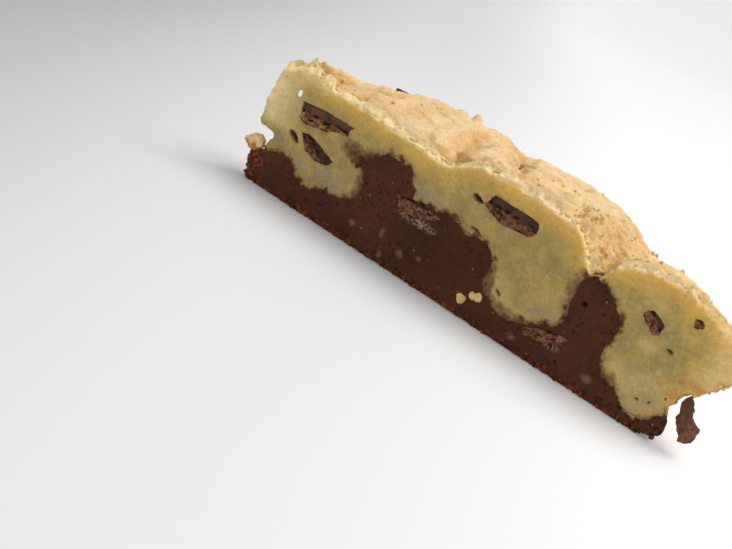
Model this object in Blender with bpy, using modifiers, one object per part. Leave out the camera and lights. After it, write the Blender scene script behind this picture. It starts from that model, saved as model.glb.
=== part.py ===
"""Half a brookie: a square brownie-and-cookie bar cut from corner to corner, lying on its base.

Metres, +Z up. The long cut face looks along -Y and +X runs along it, from its left tip to its right tip.
The pieces are drawn from the left tip of the cut and then moved, so that the origin is the middle of the base.
Readings on the cut face are in millimetres and are scaled by MM: x from the left tip, z from the base.
"""

import math

import bmesh
import bpy
from mathutils import Euler, Matrix, Vector, noise

MM = 0.001

# The bar and the way it is cut
BAR_SIDE = 76 * MM
FACE_LENGTH = BAR_SIDE * math.sqrt(2)
DEPTH = FACE_LENGTH / 2
BLANK_HEIGHT = 25 * MM
BACK_CORNER_RADIUS = 10 * MM
BACK_CORNER_TURNS = 6
TIP_MARGIN = 1.2 * MM
TIP_THICKNESS = 2.0 * MM
ORIGIN = (54.0 * MM, 24.6 * MM)

# The crust: how far its middle rises, how it rounds over at the rim, its lumps and its crumb
DOME_HEIGHT = 1.6 * MM
RIM_WIDTH = 5 * MM
RIM_DROP = 2.4 * MM
LUMP_HEIGHT = 0.9 * MM
LUMP_SIZE = 10 * MM
CRUMB_HEIGHT = 0.35 * MM
CRUMB_SIZE = 4.5 * MM

# The sides: how much deeper the top is than the base, and the roughness of baked and cut sides
FLARE = 0.05
SIDE_CRUMB = 0.45 * MM
FACE_CRUMB = 0.25 * MM

# Places, far apart in the noise, that give a shift its three directions
WOBBLE_APART = ((0, 0, 0), (31.4, 7.2, -12.8), (-19.6, 44.1, 5.3))

# Fits and mesh fineness
GAP = 0.3 * MM
BODY_VOXEL = 2.2 * MM
LAYER_STEP = 2.0 * MM
LAYER_RUN = 6.0 * MM
OVERCUT = 4 * MM
SCRAP = 0.02 * MM
FLAT = math.radians(0.3)

# Height of the crust along the cut, and a little inside the baked sides, at each place from left to right, mm
CUT_HEIGHT = (
    (-3, 27.2), (0, 27.9), (1.6, 28.7), (3.2, 28.3), (5, 29.7), (7, 29.5), (9.5, 28.7), (15, 27.8), (25, 27.2),
    (32, 26.5), (41, 26.5), (44.9, 28.0), (48, 27.6), (51, 28.7), (55, 29.3), (59.1, 30.9), (63, 28.7),
    (67, 28.8), (71, 28.9), (74.1, 29.4), (77, 26.4), (78, 24.9), (80, 22.9), (81.5, 22.4), (83, 25.0), (86, 26.4),
    (90, 27.5), (95, 28.1), (100, 27.3), (106, 26.5), (113, 25.6),
)
RIM_HEIGHT = (
    (0, 27.8), (9, 28.4), (15, 29.0), (20, 28.4), (24, 30.4), (27, 29.9), (30, 28.0), (36, 28.0), (41, 26.4),
    (46, 25.6), (50, 24.2), (57, 23.3), (61, 23.9), (66, 24.6), (72, 24.6), (77, 23.4), (82, 21.8), (88, 23.0),
    (95, 24.0), (99, 25.0), (112, 25.0),
)

# Ends of the piece at each height, mm
LEFT_END = ((0, -1.2), (3, -2.0), (6.5, -2.0), (9, -2.2), (12, -2.7), (17, -2.3), (21, -1.6), (25, -0.8), (28, 0.6))
RIGHT_END = ((0, 105.2), (4, 106.0), (9, 107.5), (12, 109.6), (16, 111.6), (21, 112.3), (28, 111.4))

# Top of the brownie layer where the cut shows it, left to right, mm (x, z)
BROWNIE_EDGE = (
    (-8, 6.2), (-1.5, 6.5), (2, 7.9), (5, 9.2), (7, 9.9), (9, 9.4), (10.5, 8.2), (12.5, 6.2), (14, 5.8), (17, 6.4),
    (20, 7.7), (22.5, 7.3), (26, 9.0), (27.5, 11.2), (27.2, 13.4), (24.5, 15.4), (21.5, 16.1), (20.6, 17.1),
    (22, 18.2), (25, 18.7), (28, 19.2), (31, 20.8), (33.5, 21.0), (36, 20.6), (38.8, 19.9), (39.4, 17.7),
    (41, 16.3), (43, 15.7), (45, 16.1), (49, 16.6), (51, 17.0), (53, 15.8), (54.8, 15.1), (57, 16.0),
    (59, 15.8), (61, 14.6), (62.4, 12.7), (62.8, 10.2), (63.2, 8.2), (64.8, 7.0), (67, 5.9), (70, 5.6),
    (73, 6.7), (76, 8.4), (78.4, 9.4), (79.1, 11.4), (78.7, 14.2), (77.8, 17.0), (78.5, 19.1), (80, 20.4),
    (82, 21.0), (84.3, 20.4), (87, 18.6), (89.2, 16.6), (89.8, 14.4), (89.4, 11.7), (89, 9.2), (89.8, 7.0),
    (92, 5.9), (94.6, 5.1), (95.2, 3.3), (97.4, 2.5), (99.5, 3.0), (101.5, 4.0), (103, 6.0), (108, 7.5), (118, 8.0),
)

# How the brownie layer wanders behind the cut, and how much flatter it lies there
LAYER_LEVEL = 9.5 * MM
LAYER_FLOOR = 3.2 * MM
WANDER_START = 2 * MM
WANDER_DEPTH = 16 * MM
WANDER = 5.5 * MM
WANDER_SIZE = 19 * MM
FLATTENING = 0.3

# Folds in the crust: points along each in mm (x, y), depth, half-width
FOLDS = (
    (((46, -3), (43, 5), (40, 12), (38, 20)), 1.7 * MM, 2.4 * MM),
    (((60, -2), (56, 7), (51, 15), (45, 26), (42, 33)), 1.5 * MM, 2.8 * MM),
    (((81.4, -3), (81, 3), (79, 10)), 2.0 * MM, 2.0 * MM),
    (((75, -2), (72, 4), (69, 8)), 1.2 * MM, 1.6 * MM),
    (((12, 2), (15, 7), (22, 9)), 0.9 * MM, 2.2 * MM),
)

# Broken places, as outlines on the cut in mm (x, z) that go right through
TIP_NOTCH = ((-8, 4), (-8, 12.4), (-1, 12.1), (3.4, 11.7), (2.3, 10.6), (1.5, 9.0), (1.0, 4))
END_BREAK = (
    (103.0, 6.9), (106.2, 10.8), (108.4, 13.1), (110.5, 15.7), (113.5, 17.6), (120, 18), (120, -3),
    (99.5, -3), (100.5, 0.4), (103.2, 1.0), (104.6, 2.2), (104.4, 4.4),
)
END_BREAK_LEAN = -0.35
PINHOLE_START = (5.6, 0, 22.2)
PINHOLE_WAY = (-0.61, 0.77, -0.20)
PINHOLE_RADIUS = 0.75 * MM
PINHOLE_LENGTH = 16 * MM

# Chocolate chunks that the cut goes through: outline on the face in mm (x, z), depth behind it
CUT_CHUNKS = {
    "chunk_slab": (((7.0, 21.5), (21.2, 21.6), (20.6, 19.5), (15.5, 18.3), (9.8, 17.0), (7.4, 17.6)), 4.0 * MM),
    "chunk_slant": (((9.6, 15.4), (11.3, 15.7), (19.4, 13.0), (18.3, 11.4), (14.6, 11.4), (10.2, 13.6)), 4.5 * MM),
    "chunk_middle": (((55.0, 21.6), (56.8, 24.1), (67.3, 24.0), (67.9, 21.3), (66.4, 20.4), (60.0, 19.8)), 5.5 * MM),
    "chunk_sunken": (((36.6, 14.9), (40.5, 15.2), (48.6, 14.9), (47.0, 13.4), (41.5, 11.8), (38.0, 12.8)), 4.5 * MM),
    "chunk_low": (((73.0, 5.9), (76.0, 7.1), (82.0, 8.4), (81.6, 6.4), (77.5, 4.9), (73.6, 4.4)), 4.5 * MM),
    "chunk_right": (((92.3, 19.7), (93.3, 20.5), (96.7, 19.4), (96.2, 17.3), (95.2, 16.8), (92.8, 18.3)), 4.5 * MM),
    "chunk_end": (((100.3, 23.4), (102.0, 23.6), (102.6, 22.2), (101.0, 21.4)), 3.0 * MM),
}
CHUNK_TAPER = 0.8

# Chunks that show in the crust: place in mm (x, y), how far the middle lies under it, size in mm, turns in degrees
CRUST_CHUNKS = {
    "chunk_ridge": ((20.2, 14.6), 1.2, (4.8, 3.6, 3.2), (12, 8, 40)),
    "chunk_crust": ((52.0, 18.5), 1.4, (5.4, 4.2, 3.2), (-10, 8, -55)),
}

# Chunks that show in the baked sides: middle in mm (x, y, z), size in mm, turns in degrees
SIDE_CHUNKS = {
    "chunk_left_side": ((32.2, 31.5, 17.5), (6.4, 4.0, 3.6), (0, 12, 45)),
    "chunk_right_side": ((77.0, 31.4, 18.0), (6.6, 4.2, 3.4), (0, -14, -45)),
    "chunk_right_low": ((95.5, 15.3, 16.0), (4.8, 4.0, 3.2), (6, 8, -45)),
}

# Crumbs that cling to the tips: middle in mm, size in mm, turns in degrees
TIP_CRUMB = ((-1.8, 1.0, 8.1), (4.4, 3.2, 2.9), (0, -14, 35))
HANGING_CRUMB = ((106.5, 1.2, 6.9), (3.2, 3.0, 8.4), (2, -24, 10))
LUMP_BEVEL = 0.22
LUMP_CRUMB = 0.7 * MM

# Colour and roughness of each food
FINISHES = {
    "brownie": ((0.060, 0.022, 0.013), 0.75),
    "cookie": ((0.62, 0.47, 0.22), 0.85),
    "chocolate": ((0.045, 0.017, 0.011), 0.5),
}


def clear_scene():
    for thing in list(bpy.data.objects):
        bpy.data.objects.remove(thing, do_unlink=True)


def new_collection(name):
    collection = bpy.data.collections.new(name)
    bpy.context.scene.collection.children.link(collection)
    return collection


def set_finish(thing, food):
    """Gives a piece a material of its own, with its food's colour and roughness."""
    colour, roughness = FINISHES[food]
    material = bpy.data.materials.new(thing.name)
    material.use_nodes = True
    shader = material.node_tree.nodes["Principled BSDF"]
    shader.inputs["Base Color"].default_value = (*colour, 1)
    shader.inputs["Roughness"].default_value = roughness
    shader.inputs["Metallic"].default_value = 0
    thing.data.materials.clear()
    thing.data.materials.append(material)


def add_object(name, bm, collection):
    """Puts a bmesh into a new object and frees it."""
    mesh = bpy.data.meshes.new(name)
    bm.to_mesh(mesh)
    bm.free()
    thing = bpy.data.objects.new(name, mesh)
    collection.objects.link(thing)
    return thing


def add_cutter(name, bm, collection):
    thing = add_object(name, bm, collection)
    thing.hide_render = True
    thing.display_type = "WIRE"
    return thing


def mesh_of(thing):
    """A bmesh copy of an object's mesh."""
    bm = bmesh.new()
    bm.from_mesh(thing.data)
    return bm


def bake(thing):
    """Applies the object's modifiers to its mesh."""
    view = bpy.context.evaluated_depsgraph_get()
    mesh = bpy.data.meshes.new_from_object(thing.evaluated_get(view))
    old = thing.data
    thing.modifiers.clear()
    thing.data = mesh
    bpy.data.meshes.remove(old)


def reading(table, place):
    """Straight-line reading of a table of (place, value) pairs, flat past its ends."""
    if place <= table[0][0]:
        return table[0][1]
    for (low, first), (high, second) in zip(table, table[1:]):
        if place <= high:
            return first + (second - first) * (place - low) / (high - low)
    return table[-1][1]


def smooth(t):
    t = min(max(t, 0), 1)
    return t * t * (3 - 2 * t)


def wobble(place, size):
    """A smooth random shift, within about half a unit each way, that changes over the given size."""
    at = Vector(place) / size
    return Vector([noise.noise(at + Vector(apart)) for apart in WOBBLE_APART])


def spline(points, step):
    """Evenly spaced points on a smooth curve through the given ones."""
    parts = 12
    fine = []
    for i in range(len(points) - 1):
        before = Vector(points[max(i - 1, 0)])
        start = Vector(points[i])
        end = Vector(points[i + 1])
        after = Vector(points[min(i + 2, len(points) - 1)])
        for k in range(parts):
            t = k / parts
            first = (end - before) * t
            second = (2 * before - 5 * start + 4 * end - after) * t ** 2
            third = (3 * start - before - 3 * end + after) * t ** 3
            fine.append(start + (first + second + third) / 2)
    even = [fine[0]]
    for point in fine + [Vector(points[-1])]:
        if (point - even[-1]).length >= step:
            even.append(point)
    return even


def rim_distance(x, y):
    """How far a place of the blank is inside its two baked sides."""
    corner_y = DEPTH - BACK_CORNER_RADIUS * math.sqrt(2)
    if y - corner_y > abs(x - DEPTH):
        return BACK_CORNER_RADIUS - math.hypot(x - DEPTH, y - corner_y)
    return (min(x, FACE_LENGTH - x) - y) / math.sqrt(2)


def fold_depth(x, y):
    """How far the folds sink the crust at a place."""
    here = Vector((x, y))
    sunk = 0
    for points, depth, width in FOLDS:
        for start, end in zip(points, points[1:]):
            a = Vector(start) * MM
            b = Vector(end) * MM
            along = min(max((here - a).dot(b - a) / (b - a).length_squared, 0), 1)
            off = (here - a - (b - a) * along).length
            sunk = max(sunk, depth * math.exp(-(off / width) ** 2))
    return sunk


def crust_height(x, y):
    """Height of the crust over a place: from the cut to the rim behind it, with its dome, lumps and folds."""
    inside = max(rim_distance(x, y), 0)
    share = y / (y + inside * math.sqrt(2)) if y > 0 else 0
    at_cut = reading(CUT_HEIGHT, x / MM) * MM
    at_rim = reading(RIM_HEIGHT, x / MM) * MM
    height = at_cut + (at_rim - at_cut) * smooth(share)
    behind = smooth(y / RIM_WIDTH)
    dome = DOME_HEIGHT * 4 * share * (1 - share)
    lumps = LUMP_HEIGHT * noise.noise(Vector((x, y, 0)) / LUMP_SIZE)
    crumb = CRUMB_HEIGHT * noise.noise(Vector((x, y, 0)) / CRUMB_SIZE)
    rounding = RIM_DROP * (1 - min(inside / RIM_WIDTH, 1)) ** 2
    return height + behind * (dome + lumps - rounding) + crumb - fold_depth(x, y)


def shape_point(place):
    """Carries a point of the straight blank to the baked, cut and crumbled piece."""
    x, y, z = place
    left = reading(LEFT_END, z / MM) * MM
    right = reading(RIGHT_END, z / MM) * MM
    wide = left + (right - left) * x / FACE_LENGTH
    level = z / BLANK_HEIGHT
    tall = level * crust_height(wide, y)
    deep = y * (1 + FLARE * (level - 0.5))
    crumb = wobble(place, CRUMB_SIZE)
    rough = FACE_CRUMB + (SIDE_CRUMB - FACE_CRUMB) * smooth(y / RIM_WIDTH)
    return Vector((wide + rough * crumb.x, deep + rough * crumb.y, tall))


def build_body(collection):
    """The whole piece, both foods in one: the half bar's outline raised, meshed evenly and then shaped."""
    corner_y = DEPTH - BACK_CORNER_RADIUS * math.sqrt(2)
    outline = [(-TIP_MARGIN, 0), (FACE_LENGTH + TIP_MARGIN, 0), (FACE_LENGTH + TIP_MARGIN / 2, TIP_THICKNESS)]
    for i in range(BACK_CORNER_TURNS + 1):
        angle = math.pi / 4 + math.pi / 2 * i / BACK_CORNER_TURNS
        across = BACK_CORNER_RADIUS * math.cos(angle)
        back = BACK_CORNER_RADIUS * math.sin(angle)
        outline.append((DEPTH + across, corner_y + back))
    outline.append((-TIP_MARGIN / 2, TIP_THICKNESS))
    bm = bmesh.new()
    floor = bm.faces.new([bm.verts.new((x, y, 0)) for x, y in outline])
    raise_faces(bm, [floor], (0, 0, BLANK_HEIGHT))
    body = add_cutter("body", bm, collection)
    even = body.modifiers.new("even squares", "REMESH")
    even.mode = "VOXEL"
    even.voxel_size = BODY_VOXEL
    bake(body)
    for vertex in body.data.vertices:
        on_base = vertex.co.z < BODY_VOXEL / 4
        vertex.co = shape_point(vertex.co)
        if on_base:
            vertex.co.z = 0
    even_body = mesh_of(body)
    bmesh.ops.triangulate(even_body, faces=even_body.faces)
    even_body.to_mesh(body.data)
    even_body.free()
    return body


def raise_faces(bm, faces, way):
    """Runs out a lone face into a solid, or some faces of one further, and returns the far vertices."""
    alone = len(faces) == len(bm.faces)
    run = bmesh.ops.extrude_face_region(bm, geom=faces)["geom"]
    far = [v for v in run if isinstance(v, bmesh.types.BMVert)]
    bmesh.ops.translate(bm, verts=far, vec=way)
    if not alone:
        bmesh.ops.delete(bm, geom=faces, context="FACES")
    bmesh.ops.recalc_face_normals(bm, faces=bm.faces)
    return far


def layer_point(x, y, z):
    """Where a point of the cut's brownie outline has wandered to, this deep behind the cut."""
    share = smooth((y - WANDER_START) / WANDER_DEPTH)
    drift = wobble((x, y, z), WANDER_SIZE) * WANDER * share
    level = LAYER_LEVEL + (z - LAYER_LEVEL) * (1 - FLATTENING * share) + drift.z
    return Vector((x + drift.x, y, max(level, min(z, LAYER_FLOOR))))


def build_layer(collection, swell=0):
    """All that is below the top of the brownie layer, as a loft of outlines from the cut to the back."""
    edge = spline([(x * MM, z * MM) for x, z in BROWNIE_EDGE], LAYER_STEP)
    stations = [-OVERCUT, WANDER_START]
    while stations[-1] < DEPTH + OVERCUT:
        stations.append(stations[-1] + LAYER_RUN)
    bm = bmesh.new()
    rings = []
    for y in stations:
        ring = [bm.verts.new(layer_point(x, y, z)) for x, z in edge]
        ring.append(bm.verts.new((edge[-1].x, y, -OVERCUT)))
        ring.append(bm.verts.new((edge[0].x, y, -OVERCUT)))
        rings.append([bm.edges.new(pair) for pair in zip(ring, ring[1:] + ring[:1])])
    for front, back in zip(rings, rings[1:]):
        bmesh.ops.bridge_loops(bm, edges=front + back)
    for ring in (rings[0], rings[-1]):
        bmesh.ops.contextual_create(bm, geom=ring)
    bmesh.ops.triangulate(bm, faces=bm.faces)
    bmesh.ops.recalc_face_normals(bm, faces=bm.faces)
    bm.normal_update()
    grow(bm, swell)
    return add_cutter("layer", bm, collection)


def grow(bm, swell):
    """Moves every vertex outwards by a distance."""
    places = [(v, v.co + v.normal * swell) for v in bm.verts]
    for vertex, place in places:
        vertex.co = place


def run_through(name, outline, collection, lean=0):
    """A cutter with an outline on the cut in mm, that goes right through the piece and may lean along the cut."""
    bm = bmesh.new()
    face = bm.faces.new([bm.verts.new((x * MM - lean * OVERCUT, -OVERCUT, z * MM)) for x, z in outline])
    raise_faces(bm, [face], (lean * DEPTH, DEPTH, 0))
    return add_cutter(name, bm, collection)


def build_pinhole(collection):
    """The small hole through the thin left tip."""
    start = Vector(PINHOLE_START) * MM
    lean = Vector(PINHOLE_WAY).to_track_quat("Z", "Y").to_matrix().to_4x4()
    bm = bmesh.new()
    bmesh.ops.create_cone(
        bm, cap_ends=True, segments=8, radius1=PINHOLE_RADIUS, radius2=PINHOLE_RADIUS,
        depth=PINHOLE_LENGTH, matrix=Matrix.Translation(start) @ lean,
    )
    return add_cutter("pinhole", bm, collection)


def cut(thing, operation, cutter=None, cutters=None):
    """One exact Boolean, with an object or a collection, applied at once."""
    knife = thing.modifiers.new("knife", "BOOLEAN")
    knife.operation = operation
    if cutters:
        knife.operand_type = "COLLECTION"
        knife.collection = cutters
    else:
        knife.object = cutter
    bake(thing)


def islands(bm):
    """The mesh's faces, grouped by what hangs together."""
    waiting = set(bm.faces)
    found = []
    while waiting:
        front = [waiting.pop()]
        island = set(front)
        while front:
            near = {other for edge in front.pop().edges for other in edge.link_faces} & waiting
            waiting -= near
            island |= near
            front += near
        found.append(island)
    return found


def keep_largest(thing):
    """Joins what lies in one plane, and drops slivers and the loose scraps that a cut leaves."""
    bm = mesh_of(thing)
    bmesh.ops.dissolve_degenerate(bm, edges=bm.edges, dist=SCRAP)
    bmesh.ops.dissolve_limit(bm, angle_limit=FLAT, verts=bm.verts, edges=bm.edges)
    bmesh.ops.triangulate(bm, faces=bm.faces)
    largest = max(islands(bm), key=len)
    scraps = [face for face in bm.faces if face not in largest]
    bmesh.ops.delete(bm, geom=scraps, context="FACES")
    bm.to_mesh(thing.data)
    bm.free()


def roughen(bm, cuts):
    """Splits the edges and moves their points a little, as on broken food."""
    if cuts:
        bmesh.ops.subdivide_edges(bm, edges=bm.edges, cuts=cuts, use_grid_fill=True)
    for vertex in bm.verts:
        vertex.co += wobble(vertex.co, CRUMB_SIZE / 2) * LUMP_CRUMB
    bmesh.ops.triangulate(bm, faces=bm.faces)
    bm.normal_update()


def build_cut_chunk(name, outline, depth, parts, pockets):
    """A chunk that the knife went through, and its pocket, which is open at the cut."""
    bm = bmesh.new()
    face = bm.faces.new([bm.verts.new((x * MM, 0, z * MM)) for x, z in outline])
    far = raise_faces(bm, [face], (0, depth, 0))
    middle = sum((v.co for v in far), Vector()) / len(far)
    bmesh.ops.scale(bm, vec=(CHUNK_TAPER, 1, CHUNK_TAPER), verts=far, space=Matrix.Translation(-middle))
    roughen(bm, 1)
    pocket = bm.copy()
    front = [face for face in pocket.faces if all(v.co.y < depth / 4 for v in face.verts)]
    grow(pocket, GAP)
    raise_faces(pocket, front, (0, -OVERCUT, 0))
    add_cutter(name + "_pocket", pocket, pockets)
    return add_object(name, bm, parts)


def build_lump(name, middle, size, turns, parts, pockets):
    """A broken lump, and the pocket it is set in."""
    turn = Euler([math.radians(angle) for angle in turns]).to_matrix().to_4x4()
    bm = bmesh.new()
    bmesh.ops.create_cube(bm, size=1)
    bmesh.ops.bevel(bm, geom=bm.edges[:], offset=LUMP_BEVEL, segments=1, profile=0.5, affect="EDGES", material=-1)
    bmesh.ops.scale(bm, vec=Vector(size) * MM, verts=bm.verts)
    bmesh.ops.transform(bm, matrix=Matrix.Translation(Vector(middle) * MM) @ turn, verts=bm.verts)
    roughen(bm, 0)
    pocket = bm.copy()
    grow(pocket, GAP)
    add_cutter(name + "_pocket", pocket, pockets)
    return add_object(name, bm, parts)


def build_chunks(parts, pockets):
    """Every chocolate chunk that shows, in the cut, the crust and the sides."""
    chunks = []
    for name, (outline, depth) in CUT_CHUNKS.items():
        chunks.append(build_cut_chunk(name, outline, depth, parts, pockets))
    for name, ((x, y), under, size, turns) in CRUST_CHUNKS.items():
        z = crust_height(x * MM, y * MM) / MM - under
        chunks.append(build_lump(name, (x, y, z), size, turns, parts, pockets))
    for name, (middle, size, turns) in SIDE_CHUNKS.items():
        chunks.append(build_lump(name, middle, size, turns, parts, pockets))
    return chunks


def build():
    clear_scene()
    parts = new_collection("brookie")
    cutters = new_collection("cutters")
    pockets = new_collection("pockets")

    body = build_body(cutters)
    brownie = add_object("brownie", mesh_of(body), parts)
    cut(brownie, "INTERSECT", build_layer(cutters))
    cookie = add_object("cookie_dough", mesh_of(body), parts)
    cut(cookie, "DIFFERENCE", build_layer(cutters, GAP))

    chunks = build_chunks(parts, pockets)
    tip_crumb = build_lump("tip_crumb", *TIP_CRUMB, parts, pockets)
    hanging_crumb = build_lump("brownie_crumb", *HANGING_CRUMB, parts, pockets)
    end_break = run_through("end_break", END_BREAK, cutters, END_BREAK_LEAN)
    cut(brownie, "DIFFERENCE", end_break)
    cut(brownie, "DIFFERENCE", cutters=pockets)
    cut(cookie, "DIFFERENCE", end_break)
    cut(cookie, "DIFFERENCE", run_through("tip_notch", TIP_NOTCH, cutters))
    cut(cookie, "DIFFERENCE", build_pinhole(cutters))
    cut(cookie, "DIFFERENCE", cutters=pockets)
    for layer in (brownie, cookie):
        keep_largest(layer)

    set_finish(brownie, "brownie")
    set_finish(hanging_crumb, "brownie")
    set_finish(cookie, "cookie")
    set_finish(tip_crumb, "cookie")
    for chunk in chunks:
        set_finish(chunk, "chocolate")
    for thing in parts.objects:
        thing.location = (-ORIGIN[0], -ORIGIN[1], 0)


build()
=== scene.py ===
"""The looks of half a brookie bar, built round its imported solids: crumb, crust, chocolate and loose crumbs.

Metres, +Z up. The cut face looks along -Y and +X runs along it, from the left tip to the right tip.
Places on the cut and the crust are in millimetres from the cut's left tip, and are scaled by MM.
"""

import math
import random
from types import SimpleNamespace

import bmesh
import bpy
from mathutils import Matrix, Vector, noise
from mathutils.bvhtree import BVHTree


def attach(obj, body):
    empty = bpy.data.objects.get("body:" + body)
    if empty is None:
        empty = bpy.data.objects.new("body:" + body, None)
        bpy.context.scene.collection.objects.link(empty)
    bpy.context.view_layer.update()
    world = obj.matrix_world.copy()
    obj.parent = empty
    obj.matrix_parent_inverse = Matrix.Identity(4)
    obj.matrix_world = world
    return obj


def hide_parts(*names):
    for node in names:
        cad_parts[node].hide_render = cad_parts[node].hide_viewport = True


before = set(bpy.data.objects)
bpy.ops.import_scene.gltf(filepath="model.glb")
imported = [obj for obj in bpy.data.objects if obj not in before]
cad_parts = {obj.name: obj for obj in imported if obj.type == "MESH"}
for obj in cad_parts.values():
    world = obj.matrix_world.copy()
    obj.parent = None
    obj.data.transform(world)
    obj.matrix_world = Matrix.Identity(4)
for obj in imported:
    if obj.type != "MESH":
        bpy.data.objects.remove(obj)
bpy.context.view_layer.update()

MM = 0.001

# Where the cut's left tip lies in the part's frame
TIP = Vector((-54.0 * MM, -24.6 * MM, 0))

# The camera: its place, the way it looks, and its roll
CAMERA_PLACE = Vector((104.2, -217.5, 72.3)) * MM
CAMERA_AZIMUTH = math.radians(32.07)
CAMERA_ELEVATION = math.radians(18.33)
CAMERA_ROLL = math.radians(22.64)
CAMERA_LENS = 59.0

# The floor: its section in metres (distance from its middle, height), the way in which it gets paler,
# its grey with painted shade and its pale grey, and how much painted light it glows with far away and on the
# right
FLOOR_PROFILE = ((0, 0), (0.9, 0), (1.15, 0.04), (1.35, 0.16), (1.42, 0.32))
FLOOR_WAY = Vector((0.85, 0.53, 0))
FLOOR_PAINTED_SHADE = (0.44, 0.44, 0.445)
FLOOR_PALE = (0.80, 0.80, 0.80)
FAR_PAINTED_GLOW = 0.19
RIGHT_PAINTED_GLOW = 0.22

# The soft lamps' places in metres, and the strength of the white room round them
WINDOW_PLACE = (0.27, 0.16, 0.66)
FILL_PLACE = (-0.5, -0.7, 0.5)
ROOM_LIGHT = 0.36

# The carved meshes: their fineness, how near points count as one, how often they are softened first,
# and how deep the face of the cut is
FINE = 0.48 * MM
CHUNK_FINE = 0.17 * MM
WELD = 0.01 * MM
SOFTENINGS = 4
CUT_DEPTH = 1.2 * MM

# How the foods meet: how near they count as touching, how far the dough laps over, how far a seam reaches,
# the gap between the solids in mm, how far behind the cut a filled edge stays, and how deep smears go in mm
TOUCH = 0.9 * MM
LAP = 0.15 * MM
SEAM_REACH = 3.2 * MM
SEAM_GAP = 0.45
CUT_LEVEL = 0.05 * MM
SMEAR_DEPTH = 3

# The crust over a point is looked for from this height, and at least this far behind the cut
PROBE_HEIGHT = 60 * MM
PROBE_BEHIND = 1.6 * MM

# How far the crust rolls over at the cut, down the cut and back over the crust, in mm
ROLL_DOWN = 2.0
ROLL_BACK = 2.2
ROLL = 1.0

# The small hole through the left tip: a point of it in mm, its way, radius and length, and its end in mm
PINHOLE = Vector((5.6, 0, 22.2))
PINHOLE_WAY = Vector((-0.61, 0.77, -0.20)).normalized()
PINHOLE_RADIUS = 0.62 * MM
PINHOLE_LENGTH = 16 * MM
PINHOLE_END = 12

# Folds of the crust, as lines over it in mm (x, y)
FOLDS = (
    ((46, -3), (43, 5), (40, 12), (38, 20)),
    ((60, -2), (56, 7), (51, 15), (45, 26), (42, 33)),
    ((81.4, -3), (81, 3), (79, 10)),
    ((75, -2), (72, 4), (69, 8)),
    ((12, 2), (15, 7), (22, 9)),
    ((37.5, 1.2), (40, 2.4), (43.5, 2.8), (47, 2.2), (49, 3.2)),
)

# Places on the crust, middle (x, y) and radii in mm: torn open to the dough, ochre pits, grey spots
TEARS = (
    ((77, 3), (8, 6)),
    ((85, 6), (5, 6)),
    ((44, 1), (3, 3)),
    ((2, 4), (6, 5)),
    ((67, 9), (4, 4)),
)
OCHRE = (
    ((44.0, 2.6), (4.0, 1.3)),
    ((76.5, 14.8), (1.1, 1.1)),
    ((82.2, 0.5), (1.5, 2.0)),
    ((62, 22), (2.0, 1.5)),
)
# grey spots; the first, round the chunk in the crust, is painted shade
GREY_SPOTS = (((50.5, 17.5), (3.6, 2.6)), ((33, 30), (2.5, 2.0)))

# Crumbs that stand up on the crust: middle in mm (x, y), radius and height in mm
KNOBS = (
    ((0.8, 1.8), 1.8, 0.9),
    ((4.4, 3.0), 2.2, 1.1),
    ((31.5, 26.0), 1.2, 1.6),
    ((29.0, 25.0), 1.6, 0.8),
    ((46.5, 21.0), 2.0, 0.9),
    ((50.0, 24.0), 1.5, 1.0),
    ((55.5, 23.2), 2.3, 0.8),
    ((64.0, 24.0), 1.8, 0.9),
    ((75.0, 18.0), 1.6, 0.9),
    ((92.0, 9.0), 0.8, 1.1),
)

# The crackled crust: how wide its plates are in mm
PLATE = 8.5

# Places on the cut, middle (x, z) and radii in mm: brown smeared into the dough, floury and creamy dough
SMEARS = (
    ((23, 17.8), (6.5, 2.2)),
    ((27.4, 12.0), (1.5, 3.5)),
    ((78.0, 17.5), (1.5, 4.0)),
    ((62.6, 9.5), (1.4, 3.5)),
    ((91.5, 6.2), (1.8, 1.5)),
    ((68, 6.0), (4.0, 1.2)),
)
FLOURY = (
    ((43.5, 17.2), (6.0, 1.5)),
    ((74.5, 9.0), (5.0, 1.3)),
    ((55.5, 15.9), (3.0, 0.7)),
    ((4.5, 11.3), (3.0, 1.4)),
    ((12, 9.0), (3.0, 1.5)),
    ((20, 9.5), (5.0, 2.0)),
)
CREAMY = (
    ((96, 7), (7.5, 4.5)),
    ((95, 14.6), (2.4, 1.2)),
    ((66, 9), (3.0, 2.5)),
)

# Where the cut's lower right edge is browned: middle in mm (x, z) and radii in mm
BROWNED = (((107.5, 12.6), (4.0, 1.1)), ((103.0, 9.8), (0.9, 1.8)), ((111, 15.0), (3.0, 1.8)))

# Pale soft spots, chalky streaks and a darker place in the brownie, on the cut in mm (x, z), with radii in mm
PALE_SPOTS = (
    ((42.6, 4.3), (0.9, 0.9)),
    ((38.2, 1.9), (0.8, 0.8)),
    ((37.0, 6.1), (0.6, 1.1)),
    ((47.0, 5.6), (0.6, 0.6)),
    ((29.5, 4.5), (0.9, 0.7)),
    ((71.5, 2.6), (1.0, 0.7)),
    ((88.0, 3.6), (1.2, 0.8)),
)
CHALKY = (((43.5, 11.7), (5.0, 0.9)), ((78, 5.2), (3.0, 0.8)), ((53.5, 16.2), (3.0, 0.6)))
DARKER = (((52, 9.5), (11, 7)),)
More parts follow.
